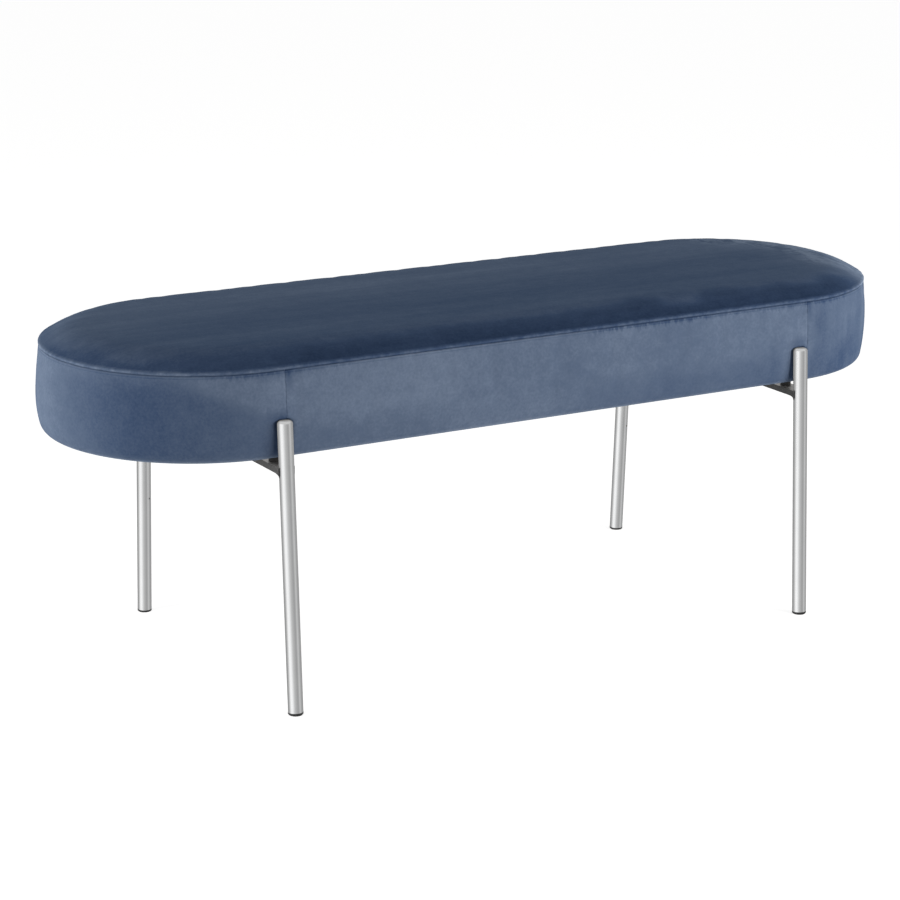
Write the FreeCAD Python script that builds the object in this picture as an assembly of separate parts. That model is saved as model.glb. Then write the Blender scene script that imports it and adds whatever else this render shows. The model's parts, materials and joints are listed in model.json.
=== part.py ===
import FreeCAD, Part
import math
import os

# A long upholstered bench seat with round ends, on four splayed tubular legs.
# X runs along the bench, -Y is its front, Z is up from the floor. Lengths are in mm.

# Seat, outside sizes
seat_length = 1200.0
seat_width = 410.0
underside_height = 318.0
band_height = 109.0
crown_rise = 23.0
crown_width = 60.0
side_draw_in = 4.0
bottom_edge_radius = 11.0
seam_lip_height = 3.0
seam_groove_depth = 1.2

# How far inboard of the round end each upright seam of the band lies
left_seam_inboard = 15.0
right_seam_inboard = -2.0

# Layers of the upholstery, from the outside in
velvet_thickness = 2.0
wadding_thickness = 6.0
layer_gap = 0.3
board_thickness = 15.0
turned_edge_width = 38.0
dust_cover_thickness = 0.8
dust_cover_margin = 2.0

# Legs: round tubes whose tops press into the side of the seat
leg_diameter = 19.0
leg_wall = 1.2
leg_splay_angle = 2.96
leg_press_depth = 7.5
leg_height_on_band = 49.0
leg_inboard = 11.0
leg_cap_height = 6.0
leg_cap_edge_radius = 4.2
plug_length = 8.0
plug_clearance = 0.1
glide_height = 3.4
glide_chamfer = 1.2
vent_hole_diameter = 2.2
vent_hole_height = 163.0
vent_hole_turn_angle = 25.0

# Cross bars under the seat, and what bolts them on
bar_width = 22.0
bar_thickness = 8.0
bar_hole_clearance = 0.5
weld_leg = 5.0
spacer_height = 8.0
spacer_diameter = 14.0
bolt_inset = 33.0
bolt_diameter = 8.0
bolt_end_margin = 1.0
bolt_head_diameter = 16.0
bolt_head_height = 4.4
bolt_head_clearance = 0.1
hex_socket_width = 5.0
hex_socket_depth = 2.5
t_nut_flange_diameter = 20.0
t_nut_flange_thickness = 1.5
t_nut_barrel_diameter = 10.0
t_nut_barrel_margin = 3.0
thread_clearance = 0.05

# Staples in the underside
staple_crown = 10.0
staple_leg = 8.0
staple_wire_width = 1.0
staple_wire_thickness = 0.7
staple_edge_margin = 5.0
velvet_staple_spacing = 60.0
dust_cover_staple_spacing = 80.0

# Every cutting solid runs past what it cuts by this much
overrun = 20.0

# Faces whose edges lie this close are joined
join_tolerance = 0.001

# Steps along the curved parts of the seat's section
crown_steps = 6
bulge_steps = 6
corner_steps = 4

# Sizes that follow
half_straight = (seat_length - seat_width) / 2
bulge_half_width = seat_width / 2
edge_half_width = bulge_half_width - side_draw_in
board_half_width = edge_half_width - bottom_edge_radius
seam_height = underside_height + band_height
seat_height = seam_height + crown_rise
board_bottom = underside_height + velvet_thickness
board_top = board_bottom + board_thickness
crown_lift = crown_rise - seam_lip_height
crown_radius = (crown_width ** 2 + crown_lift ** 2) / (2 * crown_lift)
crown_centre_half_width = edge_half_width - crown_width
crown_centre_height = seat_height - crown_radius
foam_inset = velvet_thickness + wadding_thickness + 2 * layer_gap

leg_radius = leg_diameter / 2
leg_bore_radius = leg_radius - leg_wall
leg_x = half_straight - leg_inboard
leg_top_height = underside_height + leg_height_on_band
leg_top_y = bulge_half_width + leg_radius - leg_press_depth
splay = math.radians(leg_splay_angle)
leg_length = leg_top_height / math.cos(splay)
leg_foot_y = leg_top_y + leg_top_height * math.tan(splay)

bar_top = underside_height - spacer_height
bar_bottom = bar_top - bar_thickness
bar_half_length = leg_foot_y - (bar_top + bar_bottom) / 2 * math.tan(splay)
bolt_y = bar_half_length - bolt_inset
bolt_radius = bolt_diameter / 2
spacer_radius = spacer_diameter / 2
hole_radius = bolt_radius + bar_hole_clearance
dust_cover_half_width = bolt_y - spacer_radius - dust_cover_margin
turned_edge_half_width = board_half_width - turned_edge_width

sides = {"left": -1, "right": 1}
ends = {"front": -1, "back": 1}


def vector(x, y, z):
    return FreeCAD.Vector(x, y, z)


def quarter_arc(centre_x, radius, height, start):
    """A quarter circle in plan, about a point on the seat's centre line."""
    angles = [start + math.pi / 4 * step for step in range(3)]
    points = [vector(centre_x + radius * math.cos(a), radius * math.sin(a), height) for a in angles]
    return Part.Arc(*points).toShape()


def stadium_wire(half_width, height):
    """The seat's plan outline at one height: two straight sides and four quarter circles."""
    h = half_straight
    front = Part.makeLine(vector(-h, -half_width, height), vector(h, -half_width, height))
    back = Part.makeLine(vector(h, half_width, height), vector(-h, half_width, height))
    right_end = [quarter_arc(h, half_width, height, start) for start in (-math.pi / 2, 0)]
    left_end = [quarter_arc(-h, half_width, height, start) for start in (math.pi / 2, math.pi)]
    return Part.Wire([front] + right_end + [back] + left_end)


def stadium_prism(half_width, low, high):
    face = Part.Face(stadium_wire(half_width, low))
    return face.extrude(vector(0, 0, high - low))


def walls(stations):
    """Side faces lofted through plan outlines, each given as its half width and its height.

    Two or three outlines are joined straight, and more of them smoothly.
    """
    straight = len(stations) <= 3
    return Part.makeLoft([stadium_wire(*station) for station in stations], False, straight).Faces


def stacked(runs):
    """A closed solid whose sides are runs of plan outlines, each starting where the last ends."""
    faces = [Part.Face(stadium_wire(*runs[0][0])), Part.Face(stadium_wire(*runs[-1][-1]))]
    for stations in runs:
        faces += walls(stations)
    shell = Part.makeShell(faces)
    shell.sewShape(join_tolerance)
    return Part.makeSolid(shell)


def corner_stations(inset):
    """The rounded lower edge of the seat, from the flat underside up to the band."""
    centre_height = underside_height + bottom_edge_radius
    radius = bottom_edge_radius - inset
    angles = [math.pi / 2 * (1 - step / corner_steps) for step in range(corner_steps + 1)]
    return [(board_half_width + radius * math.cos(a), centre_height - radius * math.sin(a)) for a in angles]


def bulge_stations(inset):
    """The band, which stands furthest out at half its height."""
    low = underside_height + bottom_edge_radius
    lip = seam_height - seam_lip_height
    middle = (low + lip) / 2
    half_chord = (lip - low) / 2
    radius = (half_chord ** 2 + side_draw_in ** 2) / (2 * side_draw_in)
    rise = lip - inset - low
    heights = [low + rise * step / bulge_steps for step in range(bulge_steps + 1)]
    depths = [radius - math.sqrt(radius ** 2 - (height - middle) ** 2) for height in heights]
    return [(bulge_half_width - depth - inset, height) for depth, height in zip(depths, heights)]


def crown_stations(inset):
    """The domed rim of the top, from the edge in to where the top is level."""
    radius = crown_radius - inset
    edge_angle = math.asin((crown_width - inset) / radius)
    angles = [edge_angle * (1 - step / crown_steps) for step in range(crown_steps + 1)]
    return [(crown_centre_half_width + radius * math.sin(a), crown_centre_height + radius * math.cos(a))
            for a in angles]


def leg_placement(side, end):
    """Puts a shape built upright on the origin onto the axis of one leg."""
    rotation = FreeCAD.Rotation(vector(1, 0, 0), end * leg_splay_angle)
    return FreeCAD.Placement(vector(side * leg_x, end * leg_foot_y, 0), rotation)


def on_leg(shape, side, end):
    placed = shape.copy()
    placed.Placement = leg_placement(side, end).multiply(placed.Placement)
    return placed


def upright(radius, low, high):
    return Part.makeCylinder(radius, high - low, vector(0, 0, low))


def leg_pocket(inset):
    """The space that the top of a leg takes from one layer of the seat."""
    margin = layer_gap + inset
    pocket = upright(leg_radius + margin, 0, leg_length + margin)
    top_edge = [edge for edge in pocket.Edges if edge.BoundBox.ZMin > leg_length]
    return pocket.makeFillet(leg_cap_edge_radius + margin, top_edge)


def with_leg_pockets(form, inset):
    pocket = leg_pocket(inset)
    return form.cut([on_leg(pocket, side, end) for side in sides.values() for end in ends.values()])


def cover_form(inset, groove_depth=0):
    """The seat with its rounded lower edge and, where a depth is given, the groove of its seam."""
    band = bulge_stations(inset)
    crown = crown_stations(inset)
    groove = [(edge_half_width - groove_depth, seam_height)] if groove_depth else []
    seam = band[-1:] + groove + crown[:1]
    return with_leg_pockets(stacked([corner_stations(inset), band, seam, crown]), inset)


def core_form(inset):
    """The inside of the seat, which runs straight down past the edge of the board."""
    band = bulge_stations(inset)
    crown = crown_stations(inset)
    foot = (band[0][0], underside_height)
    return with_leg_pockets(stacked([[foot, band[0]], band, [band[-1], crown[0]], crown]), inset)


def slab(low, high):
    """A block past the seat and the feet on every side, between two heights."""
    length = seat_length + 2 * overrun
    width = 2 * (leg_foot_y + leg_radius + overrun)
    return Part.makeBox(length, width, high - low, vector(-length / 2, -width / 2, low))


def at_bolts(shape):
    """One copy of a shape, drawn on the origin's vertical, at each of the four bolts."""
    copies = []
    for side in sides.values():
        for end in ends.values():
            copy = shape.copy()
            copy.translate(vector(side * leg_x, end * bolt_y, 0))
            copies.append(copy)
    return copies


def staple(height, outward):
    """A staple driven up from one height, its crown square to the outward direction."""
    half = staple_crown / 2
    inner = half - staple_wire_width
    rise = staple_leg
    thick = staple_wire_thickness
    outline = [(-half, 0), (half, 0), (half, rise), (inner, rise), (inner, thick), (-inner, thick),
               (-inner, rise), (-half, rise), (-half, 0)]
    points = [vector(x, -staple_wire_width / 2, z) for x, z in outline]
    shape = Part.Face(Part.makePolygon(points)).extrude(vector(0, staple_wire_width, 0))
    shape.rotate(vector(0, 0, 0), vector(0, 0, 1), math.degrees(outward) - 90)
    shape.translate(vector(0, 0, height))
    return shape


def staple_row(half_width, height, spacing):
    """Staples at an even spacing along the seat's outline at one half width."""
    straight = 2 * half_straight
    bend = math.pi * half_width
    count = round(2 * (straight + bend) / spacing)
    staples = []
    for index in range(count):
        run = (index + 1 / 2) * 2 * (straight + bend) / count
        end = 1 if run < straight + bend else -1
        along = run if end == 1 else run - straight - bend
        past = max(along - straight, 0)
        outward = past / half_width - end * math.pi / 2
        x = end * (min(along, straight) - half_straight)
        shape = staple(height, outward)
        shape.translate(vector(x + half_width * math.cos(outward), half_width * math.sin(outward), 0))
        staples.append(shape)
    return staples


def make_cover(staples):
    """The velvet: a top panel and a band of four panels, turned under the board."""
    cover = cover_form(0, seam_groove_depth).cut(cover_form(velvet_thickness))
    opening = stadium_prism(turned_edge_half_width, underside_height - overrun, board_bottom + layer_gap)
    bolt_hole = upright(hole_radius, underside_height - overrun, board_bottom + layer_gap)
    cover = cover.cut([opening] + at_bolts(bolt_hole) + staples)
    top_panel = cover.common(slab(seam_height, seat_height + overrun))
    band = cover.common(slab(underside_height - overrun, seam_height))
    left_seam_x = left_seam_inboard - half_straight
    right_seam_x = half_straight - right_seam_inboard
    reach = seat_length / 2 + overrun
    depth = bulge_half_width + overrun
    low = underside_height - overrun
    zones = {
        "left_end_band": (-reach, left_seam_x, -depth, depth),
        "right_end_band": (right_seam_x, reach, -depth, depth),
        "front_band": (left_seam_x, right_seam_x, -depth, 0),
        "back_band": (left_seam_x, right_seam_x, 0, depth),
    }
    panels = {"top_panel": top_panel}
    for name, (left, right, front, back) in zones.items():
        zone = Part.makeBox(right - left, back - front, seam_height - low, vector(left, front, low))
        panels[name] = band.common(zone)
    return panels


def make_wadding():
    """Fibre wrap over the top and sides of the foam and down past the edge of the board."""
    outer = cover_form(velvet_thickness + layer_gap)
    inner = core_form(velvet_thickness + layer_gap + wadding_thickness)
    board_space = stadium_prism(board_half_width + layer_gap, underside_height - overrun,
                                board_top + layer_gap)
    return outer.cut(inner).cut(board_space)


def make_foam():
    """The foam block, flat on the board, relieved over the flanges of the T-nuts."""
    relief = upright(t_nut_flange_diameter / 2 + layer_gap, board_top - overrun,
                     board_top + t_nut_flange_thickness + layer_gap)
    return core_form(foam_inset).common(slab(board_top, seat_height)).cut(at_bolts(relief))


def make_board(staples):
    board = stadium_prism(board_half_width, board_bottom, board_top)
    barrel_hole = upright(t_nut_barrel_diameter / 2, board_bottom - overrun, board_top + overrun)
    return board.cut(at_bolts(barrel_hole) + staples)


def make_dust_cover(staples):
    sheet = stadium_prism(dust_cover_half_width, underside_height - dust_cover_thickness, underside_height)
    return sheet.cut(staples)


def make_t_nut():
    flange = upright(t_nut_flange_diameter / 2, board_top, board_top + t_nut_flange_thickness)
    barrel = upright(t_nut_barrel_diameter / 2, board_bottom + t_nut_barrel_margin, board_top)
    bore = upright(bolt_radius + thread_clearance, underside_height, board_top + overrun)
    return flange.fuse(barrel).cut(bore).removeSplitter()


def make_spacer():
    hole = upright(hole_radius, bar_top, underside_height)
    return upright(spacer_radius, bar_top, underside_height).cut(hole)


def countersunk_head(clearance):
    """The cone of a bolt's head, its wide face level with the underside of the bar."""
    return Part.makeCone(bolt_head_diameter / 2 + clearance, bolt_radius + clearance, bolt_head_height,
                         vector(0, 0, bar_bottom))


def make_bolt():
    """A countersunk bolt with a hexagon socket, flush with the underside of the bar."""
    shank = upright(bolt_radius, bar_bottom + bolt_head_height, board_top - bolt_end_margin)
    corner_radius = hex_socket_width / math.sqrt(3)
    turns = [math.pi / 3 * step for step in range(7)]
    corners = [vector(corner_radius * math.cos(a), corner_radius * math.sin(a), bar_bottom) for a in turns]
    socket = Part.Face(Part.makePolygon(corners)).extrude(vector(0, 0, hex_socket_depth))
    return countersunk_head(0).fuse(shank).cut(socket).removeSplitter()


def make_leg(end):
    """A tube between its cap and its glide, with a small vent hole on the inner side."""
    high = leg_length - leg_cap_height
    tube = upright(leg_radius, glide_height, high).cut(upright(leg_bore_radius, glide_height, high))
    vent = Part.makeCylinder(vent_hole_diameter / 2, leg_diameter, vector(0, 0, vent_hole_height),
                             vector(0, -end, 0))
    vent.rotate(vector(0, 0, 0), vector(0, 0, 1), end * vent_hole_turn_angle)
    return tube.cut(vent)


def make_leg_cap():
    """A closed end with a round edge, on a plug that fits the tube."""
    low = leg_length - leg_cap_height
    cap = upright(leg_radius, low, leg_length)
    top_edge = [edge for edge in cap.Edges if edge.BoundBox.ZMin > low]
    cap = cap.makeFillet(leg_cap_edge_radius, top_edge)
    return cap.fuse(upright(leg_bore_radius - plug_clearance, low - plug_length, low))


def make_glide(side, end):
    """A plastic foot with a chamfered edge, cut level with the floor, on a plug in the tube."""
    foot_radius = leg_radius - glide_chamfer
    foot = Part.makeCone(foot_radius, leg_radius, glide_chamfer)
    body = foot.fuse(upright(leg_radius, glide_chamfer, glide_height))
    plug = upright(leg_bore_radius - plug_clearance, glide_height, glide_height + plug_length)
    below = upright(foot_radius, -glide_height, 0)
    glide = on_leg(body.fuse(plug).fuse(below), side, end)
    return glide.cut(slab(-overrun, 0)).removeSplitter()


def solid_leg(side, end):
    """The leg without its bore, for shaping what is welded to it."""
    return on_leg(upright(leg_radius, 0, leg_length), side, end)


def make_cross_bar(side):
    """A flat bar between a front and a back leg, countersunk from below, its ends cupped round the tubes."""
    bar = Part.makeBox(bar_width, 2 * bar_half_length, bar_thickness,
                       vector(side * leg_x - bar_width / 2, -bar_half_length, bar_bottom))
    hole = upright(hole_radius, bar_bottom, bar_top).fuse(countersunk_head(bolt_head_clearance))
    holes = [hole.translated(vector(side * leg_x, end * bolt_y, 0)) for end in ends.values()]
    return bar.cut(holes + [solid_leg(side, end) for end in ends.values()])


def make_weld(side, end):
    """A concave weld under the end of a cross bar, round the inner half of the tube."""
    outer = leg_radius + weld_leg
    inner = leg_radius - leg_wall
    low = bar_bottom - weld_leg
    middle_angle = math.pi / 4
    middle = vector(outer - weld_leg * math.cos(middle_angle), 0, low + weld_leg * math.sin(middle_angle))
    arc = Part.Arc(vector(leg_radius, 0, low), middle, vector(outer, 0, bar_bottom)).toShape()
    top = Part.makeLine(vector(outer, 0, bar_bottom), vector(inner, 0, bar_bottom))
    back = Part.makeLine(vector(inner, 0, bar_bottom), vector(inner, 0, low))
    base = Part.makeLine(vector(inner, 0, low), vector(leg_radius, 0, low))
    section = Part.Face(Part.Wire([arc, top, back, base]))
    ring = section.revolve(vector(0, 0, 0), vector(0, 0, 1), -end * 180)
    ring.translate(vector(side * leg_x, end * bar_half_length, 0))
    width = Part.makeBox(bar_width, 2 * outer, 2 * weld_leg,
                         vector(side * leg_x - bar_width / 2, end * bar_half_length - outer, low))
    return ring.common(width).cut(solid_leg(side, end))


def build():
    velvet_staple_half_width = turned_edge_half_width + staple_edge_margin
    dust_staple_half_width = dust_cover_half_width - staple_edge_margin
    velvet_staples = staple_row(velvet_staple_half_width, underside_height, velvet_staple_spacing)
    dust_staple_height = underside_height - dust_cover_thickness - staple_wire_thickness
    dust_staples = staple_row(dust_staple_half_width, dust_staple_height, dust_cover_staple_spacing)
    staples = velvet_staples + dust_staples

    nodes = make_cover(staples)
    nodes["wadding"] = make_wadding()
    nodes["foam_block"] = make_foam()
    nodes["base_board"] = make_board(staples)
    nodes["dust_cover"] = make_dust_cover(dust_staples)
    nodes["velvet_staples"] = Part.makeCompound(velvet_staples)
    nodes["dust_cover_staples"] = Part.makeCompound(dust_staples)
    nodes["t_nuts"] = Part.makeCompound(at_bolts(make_t_nut()))
    nodes["bar_spacers"] = Part.makeCompound(at_bolts(make_spacer()))
    nodes["mounting_bolts"] = Part.makeCompound(at_bolts(make_bolt()))
    welds = []
    for side_name, side in sides.items():
        nodes[side_name + "_cross_bar"] = make_cross_bar(side)
        for end_name, end in ends.items():
            leg_name = end_name + "_" + side_name + "_leg"
            nodes[leg_name] = on_leg(make_leg(end), side, end)
            nodes[leg_name + "_cap"] = on_leg(make_leg_cap(), side, end)
            nodes[leg_name + "_glide"] = make_glide(side, end)
            welds.append(make_weld(side, end))
    nodes["weld_fillets"] = Part.makeCompound(welds)
    return nodes


os.makedirs("parts", exist_ok=True)
for name, shape in build().items():
    shape.exportStep("parts/" + name + ".step")
    state = "valid" if shape.isValid() else "INVALID"
    print(name, len(shape.Solids), "solids", round(shape.Volume), "mm3", state)
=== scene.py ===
import json
import math

import bmesh
import bpy
import numpy as np
from mathutils import Matrix, Vector


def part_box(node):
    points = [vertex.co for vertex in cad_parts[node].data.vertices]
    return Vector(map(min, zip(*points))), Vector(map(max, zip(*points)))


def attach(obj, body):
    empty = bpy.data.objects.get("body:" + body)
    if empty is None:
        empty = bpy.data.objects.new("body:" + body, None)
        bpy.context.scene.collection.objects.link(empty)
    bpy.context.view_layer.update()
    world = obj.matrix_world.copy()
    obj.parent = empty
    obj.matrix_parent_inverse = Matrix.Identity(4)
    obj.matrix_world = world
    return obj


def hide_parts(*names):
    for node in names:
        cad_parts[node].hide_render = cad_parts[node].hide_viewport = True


# A long velvet bench seat with round ends on four splayed chrome legs. Lengths are in metres.
# X runs along the bench, -Y is its front, Z is up from the floor.

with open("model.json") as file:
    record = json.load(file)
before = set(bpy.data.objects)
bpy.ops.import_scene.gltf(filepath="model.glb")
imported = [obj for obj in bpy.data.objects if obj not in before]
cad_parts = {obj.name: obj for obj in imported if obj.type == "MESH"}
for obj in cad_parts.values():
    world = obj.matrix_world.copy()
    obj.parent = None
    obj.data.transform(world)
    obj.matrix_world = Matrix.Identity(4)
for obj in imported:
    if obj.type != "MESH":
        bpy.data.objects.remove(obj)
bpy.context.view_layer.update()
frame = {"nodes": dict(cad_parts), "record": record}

MM = 0.001

# The seat's places, read from the frame
front_low, front_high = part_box("front_band")
end_low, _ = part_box("left_end_band")
_, top_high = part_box("top_panel")
_, cap_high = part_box("front_left_leg_cap")
_, board_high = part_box("base_board")
_, cover_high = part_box("dust_cover")
foot = frame["record"]["mounts"][0]["pos_m"]

underside_z = front_low.z
seam_z = front_high.z
seat_top_z = top_high.z
bulge_half_width = -front_low.y
edge_half_width = top_high.y
turned_half_width = -front_high.y
half_straight = -end_low.x - bulge_half_width
left_seam_x = front_low.x
right_seam_x = front_high.x
leg_x = -foot[0]
leg_foot_y = -foot[1]
leg_top_z = cap_high.z
foam_low_z = board_high.z

# The seat's section
velvet_thickness = 1.6 * MM
bottom_edge_radius = 11 * MM
crown_width = 60 * MM
crown_edge_lift = 3 * MM
side_draw_in = bulge_half_width - edge_half_width
board_half_width = edge_half_width - bottom_edge_radius
top_lip_radius = 2.4 * MM
band_lip_radius = 1.8 * MM
upright_lip_radius = 0.5 * MM
lip_close_angle = math.radians(76)
top_lip_end_angle = math.radians(50)
top_lip_overhang = 0.5 * MM
lip_to_crown = 9 * MM
velvet_fill = 0.9

# The layers under the velvet
wadding_inset = 2.4 * MM
wadding_thickness = 5.4 * MM
wadding_fill = 0.8
foam_inset = 8.6 * MM
foam_fill = 1.0
layer_lip_to_crown = 6 * MM
seam_hollow_depth = 2.0 * MM
seam_hollow_width = 8 * MM

# The dust cover
dust_cover_half_width = cover_high.y
dust_cover_thickness = 0.6 * MM
dust_cover_sag = 2.5 * MM
dust_cover_wrinkle = 0.25 * MM

# The dust cover's faint ripples, which repeat after 2 pi times these lengths
dust_ripple = 31 * MM
dust_swell_x = 83 * MM
dust_swell_y = 47 * MM

# The legs
leg_radius = 9.5 * MM
leg_cap_radius = 4.2 * MM
leg_splay = math.radians(2.96)
leg_clearance = 0.35 * MM

# The outline once round at the band's widest place
straight_run = 2 * half_straight
bend_run = math.pi * bulge_half_width
whole_run = 2 * (straight_run + bend_run)

# Mesh steps
column_step = 4 * MM
leg_column_step = 1.4 * MM
leg_column_reach = 18 * MM
row_step = 2 * MM
fine_row_step = 0.7 * MM
fine_row_reach = 8 * MM
top_row_step = 7 * MM
layer_column_step = 8 * MM
layer_row_step = 5 * MM
lip_steps = 4
corner_steps = 8
layer_corner_steps = 6
dust_cover_rows = 28

# The cloth simulation
sim_column_step = 10 * MM
sim_row_step = 8 * MM
sim_centre_half_width = 12 * MM
sim_frames = 20
sim_pressure = 4.0
sim_inset = 1.0 * MM
sim_growth_share = 0.005
sim_cap = 1.8 * MM
sim_share = 0.6

# How far from its seams, board and level top the cloth is quite free, and how near a leg holds it
free_from_seam = 12 * MM
free_from_upright = 15 * MM
free_from_board = 10 * MM
free_from_level = 20 * MM
leg_hold = 2 * MM

# How the legs dent the band, and how the velvet bulges over their tops
dent_fade = 1.2 * MM
dent_lead = 3.8 * MM
dent_width = 2.8 * MM
puff_height = 1.6 * MM
puff_above = 6 * MM
puff_reach = 4.5 * MM

# The left end's padding, fuller low down. Here and below, a turn says how far the outline has to face
# one way, from -1 to 1, for an effect to start and for it to be full.
left_fullness = 2.8 * MM
full_height = 30 * MM
full_spread = 36 * MM
full_turn = (0.1, 0.9)

# Puckers along the seams, which vanish in the seams themselves
pucker_depth = 0.35 * MM
pucker_fade = 9 * MM
pucker_length = 26 * MM
pucker_clear = 1.5 * MM
upright_pucker_depth = 0.5 * MM
upright_pucker_fade = 10 * MM

# The pile's tone, as a share of the way from the darkest to the palest stroke
band_tone = 0.605
band_wander = 0.012
band_wander_length = 180 * MM
# The top's tone lies below the band's partly for the pile's own lie, partly as painted shade for a top the
# lamps light less
top_tone = 0.475

# The velvet's colour at four of these tones
velvet_colours = [(0.133, (0.0068, 0.0175, 0.0470)), (0.4, (0.0445, 0.0725, 0.1400)),
                  (0.6, (0.1022, 0.1390, 0.2140)), (0.867, (0.2232, 0.2789, 0.3813))]

# The band from its left end to past its middle, where the pile lies paler again by this much
left_lift = 0.06
left_lift_full_x = -300 * MM
left_lift_end_x = 150 * MM

# The left end of the band, darkened by painted shade, but less so just below the seam and at the upright one
left_shade = 0.235
left_shade_reach = 360 * MM
left_shade_rise = 200 * MM
left_shade_relief = 0.5
left_shade_relief_run = 190 * MM
left_seam_lift = 0.09
left_seam_lift_depth = 15 * MM

# The band's lower edge: darker above it but for one stretch, with a painted sheen where it turns under
low_shade = 0.075
low_shade_start = 50 * MM
low_shade_end = 90 * MM
low_clear_x = -50 * MM
low_clear_reach = 60 * MM
low_clear_end = 160 * MM
turn_sheen_lift = 0.26
turn_height = 7 * MM

# A patch of the left end brushed the other way, from the upright seam to its far point
brushed_tone = 0.11
brushed_length = 116 * MM
brushed_seam_depth = 59 * MM
brushed_far_depth = 17 * MM
brushed_softness = 9 * MM

# How that patch's border wanders: the height, length and salt of each set of waves
brushed_waves = [(4 * MM, 34 * MM, 9), (2 * MM, 11 * MM, 2)]

# A painted shade under the long seam where it meets the front's left upright seam
corner_shade = 0.15
corner_run = -8 * MM
corner_reach = 48 * MM
corner_depth = 9 * MM

# A painted shade beside the legs, and one just over their tops
leg_shade = 0.12
leg_shade_reach = 2.5 * MM
over_leg_height = 4 * MM
over_leg_depth = 9 * MM
over_leg_width = 11 * MM

# The right end of the band, whose pile lies a little darker at first and in upright streaks
right_shade = 0.03
right_shade_start = -20 * MM
right_shade_rise = 40 * MM
right_shade_end = 120 * MM
streaks_rise = 120 * MM

# The rim of the top: painted shade along the front, narrower along the left end, a painted sheen round the
# right end
front_rim_tone = -0.205
front_rim_width = 29 * MM
front_rim_left_share = 0.6
front_rim_left_x = -420 * MM
front_rim_full_x = -310 * MM
front_rim_turn = (0.70, 0.95)
end_rim_tone = -0.08
end_rim_width = 13 * MM
end_rim_turn = (0.0, 0.5)
rim_wander = 0.22
rim_wander_length = 150 * MM
rim_full_share = 0.35
rim_end_share = 1.75
right_rim_tone = 0.22
right_rim_width = 71 * MM
right_rim_turn = (0.62, 0.85)
right_rim_front_turn = (-0.9, -0.3)
right_rim_ragged = 7 * MM
right_rim_ragged_length = 15 * MM
right_rim_blend_in = 9 * MM
right_rim_blend_out = 12 * MM

# Round the right end also a faint painted light and short dashes of painted highlight, and towards the back
# a paler strip of painted sheen
right_glow_tone = 0.07
right_glow_turn = (0.3, 0.8)
right_glow_reach = 90 * MM
right_glow_end = 150 * MM
dashes_reach = 60 * MM
dashes_end = 110 * MM
dashes_rise = (math.radians(-50), math.radians(-20))
dashes_fall = (math.radians(60), math.radians(80))
back_strip_tone = 0.13
back_strip_y = (-60 * MM, 115 * MM)

# Stretches of the long seam along which the pile is ruffled dark: from, to and how much
ruffled_stretches = [(-92 * MM, 12 * MM, 1.0), (12 * MM, 110 * MM, 0.6), (455 * MM, 620 * MM, 1.4),
                     (620 * MM, 790 * MM, 1.0), (790 * MM, 870 * MM, 1.1), (1230 * MM, 1480 * MM, 0.5),
                     (1700 * MM, 2050 * MM, 0.7)]
ruffled_blend = 22 * MM

# What the seams do to the velvet's tone: the place, reach and tone of each line, and where ruffles and
# crease end. The pale lip ridges are painted sheen, the second line under the lip and the upright crease
# painted shade.
# Distances here are in millimetres below the long seam or past an upright one.
lip_sheen = (-3.2, 5.8, 0.26)
under_lip_shade = (3.6, 0.8, -0.09)
upright_line = (0.0, 0.9, -0.015)
upright_lip_sheen = (-2.2, 1.8, 0.03)
upright_crease = (4.0, 9.0, -0.13)
crease_fade = (8, 32)
ruffle_depths = (1.5, 11.0)
ruffle_tone = -0.19

# What stands for the distance in millimetres past an upright seam where there is none
far_from_seams = 100.0

# The values stored at each point of the velvet for its material. The first is the pile's tone with painted
# shade and painted sheen in it.
velvet_values = ["tone_and_shading", "below_seam", "past_upright", "ruffled", "strokes", "dashes", "streaks"]

# How painted shade darkens the metal close to other pieces
contact_shade_reach = 4 * MM
contact_shade_open = (0.35, 0.9)
contact_shade_dark = 0.12

# The light on everything but what the camera and the metal see
ambient_low = 0.55
ambient_high = 0.25

# The floor: its glow, which only the camera sees, and how far it goes from the middle
floor_glow = 0.70
floor_reach = 30.0

# The two soft lamps
lamp_distance = 2.8
lamp_height = 0.6
lamp_aim_height = 0.3
lamp_colour = (1.0, 0.975, 0.93)

# What the metal sees, going round from -X: the studio's tone in each direction, in degrees
studio_tones = [(-180, 1.0), (-170, 1.0), (-157, 0.97), (-142, 0.78), (-127, 0.585), (-112, 0.495),
                (-97, 0.43), (-77, 0.36), (-62, 0.42), (-46, 0.60), (-30, 0.48), (-8, 0.36), (59, 0.32),
                (105, 0.32), (132, 0.38), (153, 0.60), (172, 0.95), (180, 1.0)]

# The studio's tone overhead, and how steeply up a direction points where it starts and where it is full
studio_ceiling = 0.62
ceiling_rise = (0.3, 0.7)


def run_at(x, back=False):
    """The distance along the outline at which it passes one X, on the front or on the back."""
    past = max(x - half_straight, 0)
    run = min(x, half_straight) + half_straight + bulge_half_width * math.asin(past / bulge_half_width)
    return whole_run - bend_run - run if back else run


def outline(run):
    """For distances along the outline: the centre's X and the outward angle of each."""
    run = np.mod(run, whole_run)
    front = np.clip(run, 0, straight_run)
    right = np.clip(run - straight_run, 0, bend_run)
    back = np.clip(run - straight_run - bend_run, 0, straight_run)
    left = np.clip(run - 2 * straight_run - bend_run, 0, bend_run)
    return front - back - half_straight, (right + left) / bulge_half_width - math.pi / 2


def round_runs(step):
    """Columns once round, alike on the front and the back so that they meet over the centre line."""
    straight = np.linspace(0, straight_run, round(straight_run / step) + 1)[:-1]
    bend = np.linspace(0, bend_run, round(bend_run / step) + 1)[:-1]
    half = np.concatenate([straight, straight_run + bend])
    return np.concatenate([half, half + whole_run / 2])


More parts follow.
